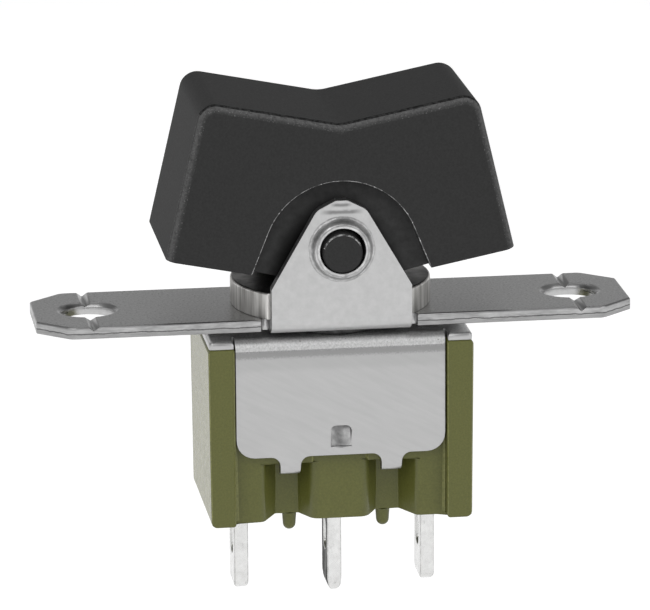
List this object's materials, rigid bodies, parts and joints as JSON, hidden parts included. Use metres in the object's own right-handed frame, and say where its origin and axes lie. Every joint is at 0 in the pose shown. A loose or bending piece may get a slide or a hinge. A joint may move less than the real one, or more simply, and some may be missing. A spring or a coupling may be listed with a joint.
{
  "type": "miniature panel rocker switch",
  "caption": "Miniature on-off-on rocker switch with a see-saw button between the ears of a folded mounting bracket, an olive case in a steel frame cover and solder blade terminals.",
  "frame": {"origin": "centre of the bracket strap's top face, midway between the two screw holes", "axes": "+X along the strap from hole to hole, +Y along the rocker's pivot away from the pictured side, +Z out of the panel through the rocker"},
  "size_m": [0.0296, 0.0096, 0.026],
  "materials": {
    "rocker_plastic": "fine matte, charcoal",
    "bracket_steel": "plated steel, mottled top face and bright sheared edges",
    "bushing_metal": "plated, turned",
    "cover_steel": "stainless, faint brushing",
    "case_plastic": "olive moulded resin",
    "terminal_plate": "bright silver plate",
    "seal_resin": "poured resin",
    "contact_brass": "stamped brass",
    "contact_silver": "silver contact face",
    "lever_steel": "plated, turned",
    "actuator_nylon": "natural nylon"
  },
  "bodies": {
    "housing": {"mounting_bracket": "bracket_steel", "bushing": "bushing_metal", "spacer_washer": "bushing_metal", "frame_cover": "cover_steel", "case_base": "case_plastic", "terminal_left": "terminal_plate", "terminal_center": "terminal_plate", "terminal_right": "terminal_plate", "terminal_seals": "seal_resin", "contact_cradle": "contact_brass", "fixed_contact_left": "contact_silver", "fixed_contact_right": "contact_silver", "pivot_pin": "lever_steel"},
    "rocker": {"rocker_button": "rocker_plastic"},
    "lever": {"toggle_lever": "lever_steel", "actuator_block": "actuator_nylon", "plunger_spring": "lever_steel"},
    "plunger": {"plunger": "actuator_nylon"},
    "contact": {"moving_contact": "contact_brass", "contact_tip_left": "contact_silver", "contact_tip_right": "contact_silver"}
  },
  "joints": [
    {"name": "rocker_pivot", "type": "hinge", "parent": "housing", "child": "rocker", "pos_m": [0, 0, 0.00366], "axis": [0, 1, 0], "range_deg": [-12, 12]},
    {"name": "lever_pivot", "type": "hinge", "parent": "housing", "child": "lever", "pos_m": [0, 0, 0.00055], "axis": [0, 1, 0], "range_deg": [-12, 12]},
    {"name": "contact_rock", "type": "hinge", "parent": "housing", "child": "contact", "pos_m": [0, 0, -0.00788], "axis": [0, 1, 0], "range_deg": [-4, 4]},
    {"name": "plunger_slide", "type": "slide", "parent": "lever", "child": "plunger", "axis": [0, 0, 1], "range_m": [0, 0.0003], "stiffness_N_per_m": 400, "springref_m": -0.0005, "deforming": ["plunger_spring"]}
  ],
  "couplings": [
    {"joint": "lever_pivot", "follows": "rocker_pivot", "ratio": -1},
    {"joint": "contact_rock", "follows": "rocker_pivot", "ratio": 0.3333}
  ]
}
